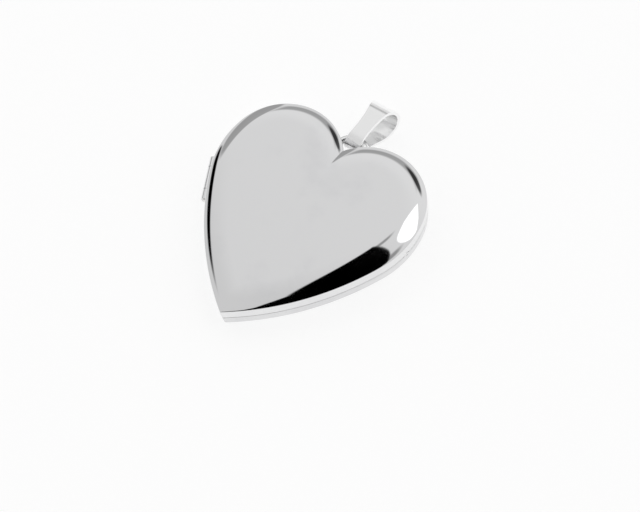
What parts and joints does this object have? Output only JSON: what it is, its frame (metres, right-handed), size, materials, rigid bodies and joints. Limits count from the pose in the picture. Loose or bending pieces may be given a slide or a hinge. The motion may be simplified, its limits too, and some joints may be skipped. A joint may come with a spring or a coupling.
{
  "type": "heart locket pendant",
  "caption": "Polished silver heart locket that opens on a side hinge, with picture frames inside and a tapered bail on a ring.",
  "frame": {"origin": "centre line of the heart on the flat of the back cover, 15.9 mm above the tip", "axes": "+Z from the back cover to the front cover, +Y from the heart's tip to its cleft and bail, +X away from the hinge"},
  "size_m": [0.0356, 0.0433, 0.0082],
  "materials": {
    "polished_silver": "mirror-polished sterling silver, faintly scratched",
    "inner_silver": "satin silver inside the covers",
    "pin_silver": "drawn hard silver wire",
    "clear_acetate": "clear gloss sheet",
    "photo_card": "matt card, blank"
  },
  "bodies": {
    "back": {"back_cover": "polished_silver", "back_inner_rim": "inner_silver", "back_picture_frame": "polished_silver", "back_window": "clear_acetate", "back_photo_card": "photo_card", "back_hinge_bearer": "inner_silver", "lower_hinge_knuckle": "polished_silver", "upper_hinge_knuckle": "polished_silver", "hinge_pin": "pin_silver", "catch_bead": "inner_silver", "bail_ring": "polished_silver"},
    "front": {"front_cover": "polished_silver", "front_inner_rim": "inner_silver", "front_picture_frame": "polished_silver", "front_window": "clear_acetate", "front_photo_card": "photo_card", "front_hinge_bearer": "inner_silver", "middle_hinge_knuckle": "polished_silver"},
    "bail": {"bail": "polished_silver"}
  },
  "joints": [
    {"name": "cover_hinge", "type": "hinge", "parent": "back", "child": "front", "pos_m": [-0.0159, 0.00167, 0.003], "axis": [0.4352, -0.9003, 0], "range_deg": [0, 180]},
    {"name": "bail_swing", "type": "hinge", "parent": "back", "child": "bail", "pos_m": [0, 0.0197, 0.00233], "axis": [1, 0, 0], "range_deg": [-60, 85]}
  ]
}
